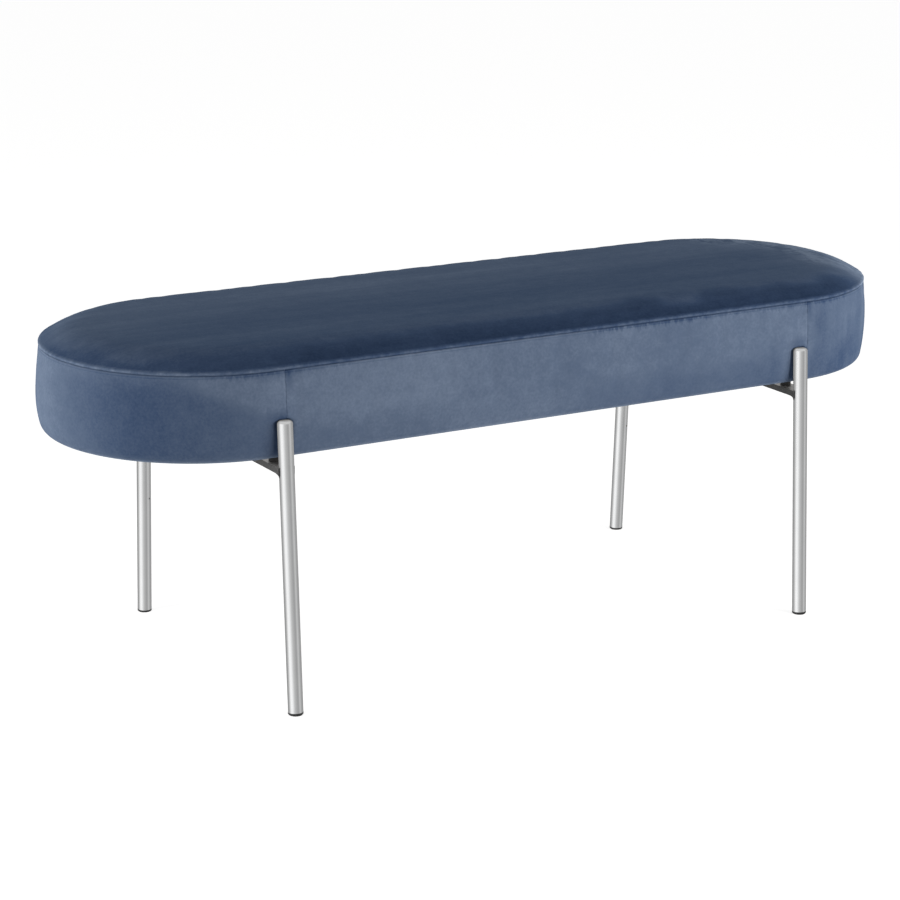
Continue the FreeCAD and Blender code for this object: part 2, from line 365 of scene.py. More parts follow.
def arc(centre_w, centre_z, radius, start, end, steps):
    """Points of an arc in the section, its angles measured up from level."""
    angles = np.linspace(start, end, steps + 1)
    return np.column_stack([centre_w + radius * np.cos(angles), centre_z + radius * np.sin(angles)])


def line_lengths(section):
    """How far along the section each of its points lies."""
    return np.concatenate([[0], np.cumsum(np.linalg.norm(np.diff(section, axis=0), axis=1))])


def spaced(points, step):
    """The same line with its points about one step apart."""
    lengths = line_lengths(points)
    count = max(round(lengths[-1] / step), 2)
    at = np.linspace(0, lengths[-1], count + 1)
    return np.column_stack([np.interp(at, lengths, points[:, i]) for i in range(2)])


def finer(section, height):
    """The same section with its rows closer together near one height."""
    lengths = line_lengths(section)
    near = np.abs(section[:, 1] - height) < fine_row_reach
    low, high = lengths[near].min(), lengths[near].max()
    extra = np.linspace(low, high, round((high - low) / fine_row_step) + 1)
    at = np.concatenate([lengths[lengths < low], extra, lengths[lengths > high]])
    return np.column_stack([np.interp(at, lengths, section[:, i]) for i in range(2)])


def smooth_step(value, low, high):
    """0 below the first value, 1 above the second, and smooth between them."""
    share = np.clip((value - low) / (high - low), 0, 1)
    return share * share * (3 - 2 * share)


def between(value, rise, fall):
    """1 between the stretch over which it rises from 0 and the one over which it falls back."""
    return smooth_step(value, *rise) * (1 - smooth_step(value, *fall))


def bulge_line(steps=40):
    """The band's section from the rounded lower edge up to the lip."""
    low = underside_z + bottom_edge_radius
    lip = seam_z - band_lip_radius * math.sin(lip_close_angle)
    half_chord = (lip - low) / 2
    radius = (half_chord ** 2 + side_draw_in ** 2) / (2 * side_draw_in)
    z = np.linspace(low, lip, steps + 1)
    w = bulge_half_width - radius + np.sqrt(radius ** 2 - (z - (low + lip) / 2) ** 2)
    return np.column_stack([w, z])


def lower_corner(inset, steps):
    """The rounded lower edge, or that of a layer set in from it."""
    centre_z = underside_z + bottom_edge_radius
    return arc(board_half_width, centre_z, bottom_edge_radius - inset, -math.pi / 2, 0, steps)


def band_section(step):
    """From the turned-under edge, round the lower edge and up to the seam."""
    flat = np.array([[turned_half_width, underside_z], [board_half_width, underside_z]])
    lip = arc(edge_half_width - band_lip_radius, seam_z - band_lip_radius * math.sin(lip_close_angle),
              band_lip_radius, 0, lip_close_angle, lip_steps)
    side = np.vstack([lower_corner(0, corner_steps), bulge_line()[1:]])
    return np.vstack([spaced(flat, 3 * step), spaced(side, step)[1:], lip[1:]])


def crown_line(steps=24):
    """The domed rim of the top, from where the top is level out to the edge."""
    lift = seat_top_z - seam_z - crown_edge_lift
    radius = (crown_width ** 2 + lift ** 2) / (2 * lift)
    w = np.linspace(edge_half_width - crown_width, edge_half_width, steps + 1)
    z = seat_top_z - radius + np.sqrt(radius ** 2 - (w - w[0]) ** 2)
    return np.column_stack([w, z])


def top_section(step, centre_step, centre_half_width=0.0):
    """From the seam up round the lip, over the crown and in to the middle of the top."""
    lip_w = edge_half_width - top_lip_radius + top_lip_overhang
    lip_z = seam_z + top_lip_radius * math.sin(lip_close_angle)
    lip = arc(lip_w, lip_z, top_lip_radius, -lip_close_angle, top_lip_end_angle, 2 * lip_steps)
    crown = crown_line()[::-1]
    crown = crown[crown[:, 0] < edge_half_width - lip_to_crown]
    rim = spaced(np.vstack([lip[-1:], crown]), step)
    level = np.array([rim[-1], [centre_half_width, seat_top_z]])
    return np.vstack([lip, rim[1:], spaced(level, centre_step)[1:]])


def level_rows(section):
    """Which points of a section lie on the level middle of the top."""
    return section[:, 0] < edge_half_width - crown_width


def layer_section(inset):
    """The section of a layer under the velvet: up the side, over the rim and in to the middle."""
    corner = lower_corner(inset, layer_corner_steps)
    side = bulge_line() - [inset, 0]
    hollow = np.exp(-((side[:, 1] - seam_z) / seam_hollow_width) ** 2)
    side[:, 0] -= seam_hollow_depth * hollow
    crown = crown_line()[::-1]
    along = np.gradient(crown, axis=0)
    along /= np.linalg.norm(along, axis=1, keepdims=True)
    crown = crown - inset * np.column_stack([along[:, 1], -along[:, 0]])
    crown = crown[crown[:, 0] < edge_half_width - inset - layer_lip_to_crown]
    centre = np.array([[0, seat_top_z - inset]])
    return spaced(np.vstack([corner, side[1:], crown, centre]), layer_row_step)


def skin(section, runs):
    """Points of the seat's surface: one row for each point of the section, one column for each run."""
    centre_x, angle = outline(runs)
    w = section[:, 0][:, None]
    z = section[:, 1][:, None]
    return np.stack([centre_x + w * np.cos(angle), w * np.sin(angle) + 0 * z, z + 0 * angle], axis=-1)


def normals_of(grid, closed):
    """Outward normals of a grid of points whose rows go up and whose columns go round."""
    wide = np.concatenate([grid[:, -1:], grid, grid[:, :1]], axis=1) if closed else grid
    along = np.gradient(wide, axis=1)
    if closed:
        along = along[:, 1:-1]
    normal = np.cross(along, np.gradient(grid, axis=0))
    length = np.linalg.norm(normal, axis=-1, keepdims=True)
    return normal / np.maximum(length, 1e-12)


def mesh_from(name, points, faces):
    """A new object from points and faces."""
    mesh = bpy.data.meshes.new(name)
    mesh.from_pydata(np.asarray(points).reshape(-1, 3).tolist(), [], [list(face) for face in faces])
    mesh.update()
    piece = bpy.data.objects.new(name, mesh)
    bpy.context.scene.collection.objects.link(piece)
    return piece


def grid_faces(rows, columns, closed):
    """Quads of a grid, facing out when its rows go up and its columns go round."""
    across = columns if closed else columns - 1
    row, column = np.meshgrid(np.arange(rows - 1), np.arange(across), indexing="ij")
    after = (column + 1) % columns
    corners = [row * columns + column, row * columns + after, (row + 1) * columns + after,
               (row + 1) * columns + column]
    return np.stack([c.ravel() for c in corners], axis=1)


def uneven(run, length, salt):
    """A wandering value along the outline, about -1 to 1, the same after once round."""
    total = 0
    for i in range(6):
        waves = round(whole_run / length * (0.62 + 0.17 * i))
        phase = 2.4 * (i + 1) * (salt + 1)
        total = total + np.sin(2 * math.pi * waves * run / whole_run + phase)
    return total / 3


def leg_reach(points):
    """How far each point lies from the nearest leg's outline, seen square on, and its side offset."""
    side = np.abs(np.abs(points[..., 0]) - leg_x)
    above = points[..., 2] - leg_top_z
    past_side = np.maximum(side - leg_radius + leg_cap_radius, 0)
    past_top = np.maximum(above + leg_cap_radius, 0)
    corner = np.hypot(past_side, past_top) - leg_cap_radius
    inside = np.maximum(side - leg_radius, above)
    return np.where((past_side > 0) | (past_top > 0), corner, inside), side


def leg_dent(points):
    """How far the leg tops push the band in at each point. Above them it bulges out instead."""
    reach, side = leg_reach(points)
    depth_y = np.abs(points[..., 1])
    above = points[..., 2] - leg_top_z
    axis_y = leg_foot_y - points[..., 2] * math.tan(leg_splay)
    radius = leg_radius + leg_clearance
    chord = np.sqrt(np.maximum(radius ** 2 - side ** 2, 0))
    trough = np.where(side < radius, depth_y - axis_y + chord, 0)
    touching = np.maximum(trough, 0) * (1 - smooth_step(reach, 0, dent_fade))
    beside = dent_lead * np.exp(-(np.maximum(reach, 0) / dent_width) ** 1.5)
    below_top = 1 - smooth_step(above, -leg_cap_radius, dent_fade)
    near = np.clip((points[..., 2] - underside_z) / bottom_edge_radius, 0, 1)
    puff = puff_height * np.exp(-((above - puff_above) / puff_reach) ** 2 - (side / leg_radius) ** 2)
    return np.maximum(touching, beside * near * below_top) - puff * smooth_step(reach, 0, dent_fade)


def held_share(runs, section, grid):
    """Where the cloth is held: 1 at the seams, the board, the level top and the legs, 0 where it is free."""
    w, z = section[:, 0], section[:, 1]
    on_band = z < seam_z
    from_seam = np.hypot(w - edge_half_width, z - seam_z) / free_from_seam
    from_board = (z - underside_z - bottom_edge_radius) / free_from_board
    from_level = (w - edge_half_width + crown_width) / free_from_level
    free = np.clip(np.minimum(from_seam, np.where(on_band, from_board, from_level)), 0, 1)
    from_upright = np.clip(upright_gap(runs) / free_from_upright, 0, 1)
    reach, _ = leg_reach(grid)
    free = np.where(on_band[:, None], np.minimum(free[:, None], from_upright), free[:, None])
    return 1 - np.where(on_band[:, None] & (reach < leg_hold), 0, free)


def pressed_cloth(start, held):
    """The skin as a cloth under pressure, held where its shares say."""
    cloth = mesh_from("skin_cloth", start, grid_faces(*held.shape, True))
    pins = cloth.vertex_groups.new(name="held")
    for index, share in enumerate(held.ravel()):
        pins.add([index], float(share), "REPLACE")
    settings = cloth.modifiers.new("cloth", "CLOTH").settings
    settings.quality = 5
    settings.mass = 0.3
    settings.tension_stiffness = 12
    settings.compression_stiffness = 6
    settings.shear_stiffness = 4
    settings.bending_stiffness = 0.3
    settings.tension_damping = 8
    settings.compression_damping = 8
    settings.use_pressure = True
    settings.uniform_pressure_force = sim_pressure
    settings.shrink_min = -sim_growth_share
    settings.vertex_group_mass = pins.name
    settings.effector_weights.gravity = 0
    return cloth


def settled_points(cloth):
    """Where a cloth's points lie after the last frame. The cloth itself is taken away."""
    scene = bpy.context.scene
    for step in range(1, sim_frames + 1):
        scene.frame_set(step)
    settled = cloth.evaluated_get(bpy.context.evaluated_depsgraph_get()).to_mesh()
    points = np.zeros(len(settled.vertices) * 3)
    settled.vertices.foreach_get("co", points)
    scene.frame_set(1)
    bpy.data.objects.remove(cloth)
    return points


def relaxed(runs, section):
    """The unevenness that the seat's skin settles to as cloth, held at its seams, board and legs.

    It starts a little small and swells.
    """
    grid = skin(section, runs)
    normal = normals_of(grid, True)
    held = held_share(runs, section, grid)
    dent = leg_dent(grid) * (section[:, 1] < seam_z)[:, None]
    start = grid - normal * (sim_inset * (1 - held) + dent)[..., None]
    points = settled_points(pressed_cloth(start, held)).reshape(grid.shape)
    move = points - grid + normal * dent[..., None]
    out = (move * normal).sum(axis=-1)
    out = out - out.mean(axis=1, keepdims=True)
    return normal * (sim_share * np.clip(out, -sim_cap, sim_cap))[..., None]


def spline_weights(t):
    """The four weights of a smooth spline between its nodes."""
    return [(1 - t) ** 3 / 6, (3 * t ** 3 - 6 * t ** 2 + 4) / 6,
            (-3 * t ** 3 + 3 * t ** 2 + 3 * t + 1) / 6, t ** 3 / 6]


def sampled(field, from_runs, from_at, runs, at):
    """A field of vectors on one closed grid, read smoothly at another's runs and section lengths."""
    rows, columns = field.shape[:2]
    wide_runs = np.concatenate([from_runs, [whole_run]])
    place = np.interp(np.mod(runs, whole_run), wide_runs, np.arange(len(wide_runs)))
    row = np.interp(at, from_at, np.arange(rows))
    low_c = np.floor(place).astype(int)
    low_r = np.floor(row).astype(int)
    total = 0
    for i, row_weight in enumerate(spline_weights(row - low_r)):
        near_row = field[np.clip(low_r + i - 1, 0, rows - 1)]
        for j, column_weight in enumerate(spline_weights(place - low_c)):
            weight = (row_weight[:, None] * column_weight)[..., None]
            total = total + near_row[:, (low_c + j - 1) % columns] * weight
    return total


front_left_run = run_at(left_seam_x)
front_right_run = run_at(right_seam_x)
back_right_run = run_at(right_seam_x, back=True)
back_left_run = run_at(left_seam_x, back=True)
upright_seam_runs = [front_left_run, front_right_run, back_right_run, back_left_run]
leg_runs = [run_at(-leg_x), run_at(leg_x), run_at(leg_x, back=True), run_at(-leg_x, back=True)]


def past_run(runs, run):
    """How far each column lies past one place on the outline, less than nothing before it."""
    return (runs - run + whole_run / 2) % whole_run - whole_run / 2


def past_upright(runs):
    """How far each column lies past the nearest upright seam."""
    past = past_run(runs[:, None], np.array(upright_seam_runs))
    return past[np.arange(len(runs)), np.abs(past).argmin(axis=1)]


def upright_gap(runs):
    """How far each column lies from the nearest upright seam, before or past it."""
    return np.abs(past_upright(runs))


def panel_runs(start, end):
    """Columns of a band panel, closer together on the lips at its two upright seams and at the legs."""
    angles = np.linspace(0, math.pi / 2, lip_steps + 2)
    lip = upright_lip_radius * (1 - np.cos(angles))
    inner_start = start + lip[-1]
    inner_end = end - lip[-1]
    inner = np.linspace(inner_start, inner_end, round((inner_end - inner_start) / column_step) + 1)
    for leg_run in leg_runs:
        for place in (leg_run, leg_run + whole_run):
            low = max(place - leg_column_reach, inner_start)
            high = min(place + leg_column_reach, inner_end)
            if high - low < leg_column_step:
                continue
            fine = np.linspace(low, high, round((high - low) / leg_column_step) + 1)
            clear = (inner < low - leg_column_step / 2) | (inner > high + leg_column_step / 2)
            inner = np.unique(np.concatenate([inner[clear], fine]))
    inner[0] = inner_start
    inner[-1] = inner_end
    return np.concatenate([start + lip[:-1], inner, (end - lip[:-1])[::-1]])


def upright_close(runs, start, end):
    """How far the lip of an upright seam sinks at each column."""
    gap = np.minimum(runs - start, end - runs)
    inside = np.clip(upright_lip_radius - gap, 0, upright_lip_radius)
    return upright_lip_radius - np.sqrt(np.maximum(upright_lip_radius ** 2 - inside ** 2, 0))


def gathered(distance, fade):
    """How strong gathers are at a distance from their seam: none in it, most just past it."""
    return np.exp(-distance / fade) * (1 - np.exp(-distance / pucker_clear))


def seam_pucker(runs, z):
    """Small gathers that run out from the long seam and from the upright seams."""
    from_seam = np.abs(z - seam_z)[:, None]
    gap = upright_gap(runs)[None]
    long_one = pucker_depth * gathered(from_seam, pucker_fade) * uneven(runs, pucker_length, 1)[None]
    across = uneven(z * 6 + runs.mean(), pucker_length * 3, 4)[:, None]
    upright_one = upright_pucker_depth * gathered(gap, upright_pucker_fade) * across
    open_long = 1 - np.exp(-from_seam / pucker_clear)
    open_upright = 1 - np.exp(-gap / pucker_clear)
    return long_one * open_upright + upright_one * open_long


def shell_from(name, outer, inner, closed, centre_closed=False):
    """A closed piece: an outer grid, an inner one below it, and strips round their edges."""
    rows, columns = outer.shape[:2]
    count = rows * columns
    faces = grid_faces(rows, columns, closed)
    under = faces[:, ::-1] + count
    ring = np.arange(columns)
    after = np.roll(ring, -1) if closed else ring[1:]
    before = ring if closed else ring[:-1]
    strips = [np.stack([before, before + count, after + count, after], axis=1)]
    if not centre_closed:
        last = (rows - 1) * columns
        strips.append(np.stack([after, after + count, before + count, before], axis=1) + last)
    if not closed:
        side = np.arange(rows - 1) * columns
        strips.append(np.stack([side + columns, side + columns + count, side + count, side], axis=1))
        far = side + columns - 1
        strips.append(np.stack([far, far + count, far + columns + count, far + columns], axis=1))
    points = np.concatenate([outer.reshape(-1, 3), inner.reshape(-1, 3)])
    return mesh_from(name, points, np.concatenate([faces, under] + strips))


def weld_close(piece, distance=0.01 * MM):
    """Joins points that lie on each other, and smooths the shading."""
    mesh = bmesh.new()
    mesh.from_mesh(piece.data)
    bmesh.ops.remove_doubles(mesh, verts=mesh.verts, dist=distance)
    bmesh.ops.dissolve_degenerate(mesh, edges=mesh.edges, dist=distance)
    bmesh.ops.recalc_face_normals(mesh, faces=mesh.faces)
    for face in mesh.faces:
        face.smooth = True
    mesh.to_mesh(piece.data)
    mesh.free()
    return piece


def keep_values(piece, shape, named_values):
    """Stores the velvet's values at each point of a shell's outer grid, and the same below it."""
    for name in velvet_values:
        values = np.broadcast_to(named_values.get(name, 0), shape).astype(np.float32).ravel()
        attribute = piece.data.attributes.new(name, "FLOAT", "POINT")
        attribute.data.foreach_set("value", np.concatenate([values, values]))


def stand_in(piece, slot, *nodes):
    """Gives a piece its finish and the nodes it stands for. The metal doesn't mirror it."""
    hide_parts(*nodes)
    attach(piece, "root")
    piece.data.materials.append(materials[slot])
    piece.visible_glossy = False


def dress(piece, slot, fill, *nodes):
    """Gives a padded piece its finish and the nodes it stands for."""
    stand_in(piece, slot, *nodes)


def brushed_patch(below, runs):
    """A share of 1 inside the brushed patch left of the front's upright seam, soft at its border."""
    left = front_left_run + whole_run - runs[None]
    border = brushed_seam_depth + (brushed_far_depth - brushed_seam_depth) * left / brushed_length
    for height, length, salt in brushed_waves:
        border = border + height * uneven(runs, length, salt)[None]
    inside = smooth_step(border - below, -brushed_softness, brushed_softness)
    far = smooth_step(left, brushed_length - 3 * brushed_softness, brushed_length + 3 * brushed_softness)
    return inside * (1 - far)


def low_edge_shade(x, below):
    """How much darker the band is above its lower edge, but for one stretch."""
    low = smooth_step(below, low_shade_start, low_shade_end) * (x > left_seam_x)
    return low_shade * low * smooth_step(np.abs(x - low_clear_x), low_clear_reach, low_clear_end)


def left_end_shade(z, below, runs):
    """How much painted shade darkens the left end of the band."""
    start = whole_run - left_shade_reach
    end = whole_run + front_left_run
    relief = left_shade_relief * smooth_step(runs, end - left_shade_relief_run, end)
    share = (smooth_step(runs, start, start + left_shade_rise) * (1 - relief))[None]
    share = share * smooth_step(z, underside_z - turn_height, underside_z + 2 * turn_height)
    return share * (left_shade - left_seam_lift * np.exp(-(below / left_seam_lift_depth) ** 2))


def seam_corner_shade(below, runs):
    """How much painted shade darkens the band where the long seam meets the front's left upright one."""
    along = np.exp(-(past_run(runs, corner_run) / corner_reach) ** 2)[None]
    return corner_shade * (along * np.exp(-(below / corner_depth) ** 2))


def right_end_shade(runs):
    """How much darker the pile lies at the start of the right end."""
    start = straight_run + right_shade_start
    end = straight_run + right_shade_end
    return right_shade * between(runs, (start, start + right_shade_rise), (end - right_shade_rise, end))


def leg_shades(grid):
    """How much painted shade darkens the band beside the legs, and just over their tops."""
    reach, side = leg_reach(grid)
    above = (grid[..., 2] - leg_top_z - over_leg_height) / over_leg_depth
    beside = leg_shade * np.exp(-(np.maximum(reach, 0) / leg_shade_reach) ** 1.5)
    return beside, leg_shade * np.exp(-above ** 2 - (side / over_leg_width) ** 2)


def band_tone_and_shading(grid, runs):
    """The band's tone: the pile's own, with painted shade round the left end, at the seam corner and beside
    the legs, and a painted sheen where it turns under.
    """
    x, z = grid[..., 0], grid[..., 2]
    below = seam_z - z
    tone = band_tone + band_wander * uneven(runs, band_wander_length, 3)[None] + 0 * z
    tone = tone + left_lift * (1 - smooth_step(x, left_lift_full_x, left_lift_end_x))
    tone = tone - low_edge_shade(x, below)
    tone = tone - left_end_shade(z, below, runs)
    tone = tone + brushed_tone * brushed_patch(below, runs)
    tone = tone - seam_corner_shade(below, runs)
    tone = tone - right_end_shade(runs)[None]
    tone = tone + turn_sheen_lift * (1 - smooth_step(z, underside_z, underside_z + turn_height))
    for shade in leg_shades(grid):
        tone = tone - shade
    return tone


def streaked(runs):
    """How strong the upright streaks of the right end are at each column."""
    end = straight_run + bend_run
    return between(runs, (straight_run - streaks_rise, straight_run), (end, end + streaks_rise))


def ruffled(runs):
    """How much the pile below the long seam is ruffled at each column."""
    total = 0
    for start, end, share in ruffled_stretches:
        for turn in (0, whole_run):
            rise = smooth_step(runs, start + turn - ruffled_blend, start + turn + ruffled_blend)
            fall = smooth_step(runs, end + turn - ruffled_blend, end + turn + ruffled_blend)
            total = total + share * (rise - fall)
    return total


def edge_gap(section):
    """How far in from the top's edge each row of a section lies."""
    return (edge_half_width - section[:, 0])[:, None]


def right_rim(section, runs):
    """A share of 1 on the rim of the top round the right end, where a painted sheen lies, ragged at its
    inner border.
    """
    from_edge = edge_gap(section)
    _, angle = outline(runs)
    right = smooth_step(np.cos(angle), *right_rim_turn) * smooth_step(-np.sin(angle), *right_rim_front_turn)
    ragged = right_rim_width + right_rim_ragged * uneven(runs, right_rim_ragged_length, 6)[None]
    inner = smooth_step(from_edge, ragged - right_rim_blend_in, ragged + right_rim_blend_out)
    return right[None] * (1 - inner)


def dashes_share(section, runs):
    """A share of 1 where short dashes of painted highlight lie on the top, round the right end."""
    from_edge = edge_gap(section)
    _, angle = outline(runs)
    round_right = between(angle, dashes_rise, dashes_fall)[None]
    return round_right * (1 - smooth_step(from_edge, dashes_reach, dashes_end))


def top_tone_and_shading(grid, section, runs):
    """The top's tone: painted shade along the front rim, painted sheen round the right end and to the back.
    """
    from_edge = edge_gap(section)
    centre_x, angle = outline(runs)
    front = smooth_step(-np.sin(angle), *front_rim_turn)
    left = smooth_step(-np.cos(angle), *end_rim_turn) * (1 - front)
    wander = 1 + rim_wander * uneven(runs, rim_wander_length, 5)[None]
    width = (end_rim_width + (front_rim_width - end_rim_width) * front)[None] * wander
    dark = 1 - smooth_step(from_edge, rim_full_share * width, rim_end_share * width)
    edge_x = centre_x + edge_half_width * np.cos(angle)
    full = smooth_step(edge_x, front_rim_left_x, front_rim_full_x)
    front_tone = front_rim_tone * front * (front_rim_left_share + (1 - front_rim_left_share) * full)
    tone = top_tone + (front_tone + end_rim_tone * left)[None] * dark
    tone = tone + right_rim_tone * right_rim(section, runs)
    glow = smooth_step(np.cos(angle), *right_glow_turn)[None]
    tone = tone + right_glow_tone * glow * (1 - smooth_step(from_edge, right_glow_reach, right_glow_end))
    return tone + back_strip_tone * smooth_step(grid[..., 1], *back_strip_y)


def fullness(runs, z):
    """How much fuller the padding of the left end is low down, at each column and row."""
    _, angle = outline(runs)
    left = smooth_step(-np.cos(angle), *full_turn)
    low = np.exp(-((z - underside_z - full_height) / full_spread) ** 2)
    return left_fullness * low[:, None] * left[None]


def relaxed_skin():
    """The settled unevenness on its own coarse grid, with that grid's runs and section lengths."""
    top = top_section(sim_row_step, 2 * sim_row_step, sim_centre_half_width)
    section = np.vstack([band_section(sim_row_step), top[1:]])
    runs = round_runs(sim_column_step)
    return relaxed(runs, section), runs, line_lengths(section)


def band_panel(node, start, end, section, cloth):
    """One panel of the side band, between two upright seams."""
    at = line_lengths(section)
    runs = panel_runs(start, end)
    grid = skin(section, runs)
    normal = normals_of(grid, False)
    values = {"tone_and_shading": band_tone_and_shading(grid, runs), "below_seam": (at[-1] - at)[:, None] / MM,
              "past_upright": past_upright(runs) / MM, "ruffled": ruffled(runs), "streaks": streaked(runs)}
    side_rows = np.clip((section[:, 1] - underside_z) / bottom_edge_radius, 0, 1)[:, None]
    inward = upright_close(runs, start, end)[None] + side_rows * seam_pucker(runs, section[:, 1])
    inward = inward - side_rows * fullness(runs, section[:, 1])
    grid = grid + sampled(*cloth, runs, at) - normal * inward[..., None]
    grid = grid - normal * leg_dent(grid)[..., None]
    inner = grid - normals_of(grid, False) * velvet_thickness
    piece = shell_from("velvet_" + node, grid, inner, False)
    keep_values(piece, grid.shape[:2], values)
    dress(weld_close(piece), "velvet", velvet_fill, node)


def top_velvet(seam_at, cloth):
    """The top panel, gathered over its rim and level in its middle."""
    section = top_section(row_step, top_row_step)
    at = line_lengths(section) + seam_at
    runs = round_runs(column_step)
    smooth = skin(section, runs)
    values = {"tone_and_shading": top_tone_and_shading(smooth, section, runs), "below_seam": (seam_at - at)[:, None] / MM,
              "past_upright": far_from_seams, "strokes": 1, "dashes": dashes_share(section, runs)}
    over_rim = gathered(np.maximum(at - seam_at, 0), pucker_fade)[:, None]
    inward = pucker_depth * over_rim * uneven(runs, pucker_length, 8)[None]
    grid = smooth + sampled(*cloth, runs, at) - normals_of(smooth, True) * inward[..., None]
    level = level_rows(section)
    grid[level] = smooth[level]
    normal = normals_of(grid, True)
    normal[level] = [0, 0, 1]
    piece = shell_from("velvet_top_panel", grid, grid - normal * velvet_thickness, True, centre_closed=True)
    keep_values(piece, grid.shape[:2], values)
    dress(weld_close(piece), "velvet", velvet_fill, "top_panel")


def velvet_panels():
    """The four band panels and the top panel, from one relaxed skin."""
    cloth = relaxed_skin()
    spans = {
        "front_band": (front_left_run, front_right_run),
        "right_end_band": (front_right_run, back_right_run),
        "back_band": (back_right_run, back_left_run),
        "left_end_band": (back_left_run, front_left_run + whole_run),
    }
    section = finer(finer(band_section(row_step), leg_top_z), seam_z - 2 * band_lip_radius)
    for node, (start, end) in spans.items():
        band_panel(node, start, end, section, cloth)
    top_velvet(line_lengths(section)[-1], cloth)


def layer_grid(inset, runs, lowest_z=None):
    """The outer face of a layer under the velvet, dented where the legs press it."""
    section = layer_section(inset)
    if lowest_z is not None:
        section = section[section[:, 1] > lowest_z]
        section = np.vstack([[section[0, 0], lowest_z], section])
    grid = skin(section, runs)
    normal = normals_of(grid, True)
    normal[level_rows(section)] = [0, 0, 1]
    face = skin(section + [inset, 0], runs)
    dent = leg_dent(face) * (section[:, 1] < seam_z)[:, None]
    return grid - normal * dent[..., None], normal


def wadding_layer():
    """Polyester wadding between the velvet and the foam, open underneath."""
    runs = round_runs(layer_column_step)
    outer, normal = layer_grid(wadding_inset, runs)
    inner = outer - normal * wadding_thickness
    piece = shell_from("soft_wadding", outer, inner, True, centre_closed=True)
    dress(weld_close(piece), "wadding", wadding_fill, "wadding")


def foam_core():
    """The foam block, flat where it lies on the board."""
    runs = round_runs(layer_column_step)
    outer, _ = layer_grid(foam_inset, runs, foam_low_z)
    rows, columns = outer.shape[:2]
    floor_row = skin(np.array([[0.0, foam_low_z]]), runs)
    points = np.concatenate([floor_row, outer], axis=0)
    piece = mesh_from("soft_foam_block", points, grid_faces(rows + 1, columns, True))
    dress(weld_close(piece), "foam", foam_fill, "foam_block")


def dust_cover():
    """Black non-woven cloth stapled under the board. It sags a little between its staples."""
    runs = round_runs(layer_column_step)
    w = np.linspace(dust_cover_half_width, 0, dust_cover_rows)
    grid = skin(np.column_stack([w, np.full_like(w, cover_high.z)]), runs)
    x, y = grid[..., 0], grid[..., 1]
    inner_share = 1 - (w / dust_cover_half_width) ** 2
    ripple = np.sin(x / dust_ripple) * np.sin(x / dust_swell_x + y / dust_swell_y)
    drop = inner_share[:, None] * (dust_cover_sag + dust_cover_wrinkle * ripple)
    upper = grid - np.stack([0 * drop, 0 * drop, drop], axis=-1)
    lower = upper - np.array([0, 0, dust_cover_thickness])
    piece = weld_close(shell_from("dust_cover_cloth", upper, lower, True, centre_closed=True))
    stand_in(piece, "dust_cloth", "dust_cover")


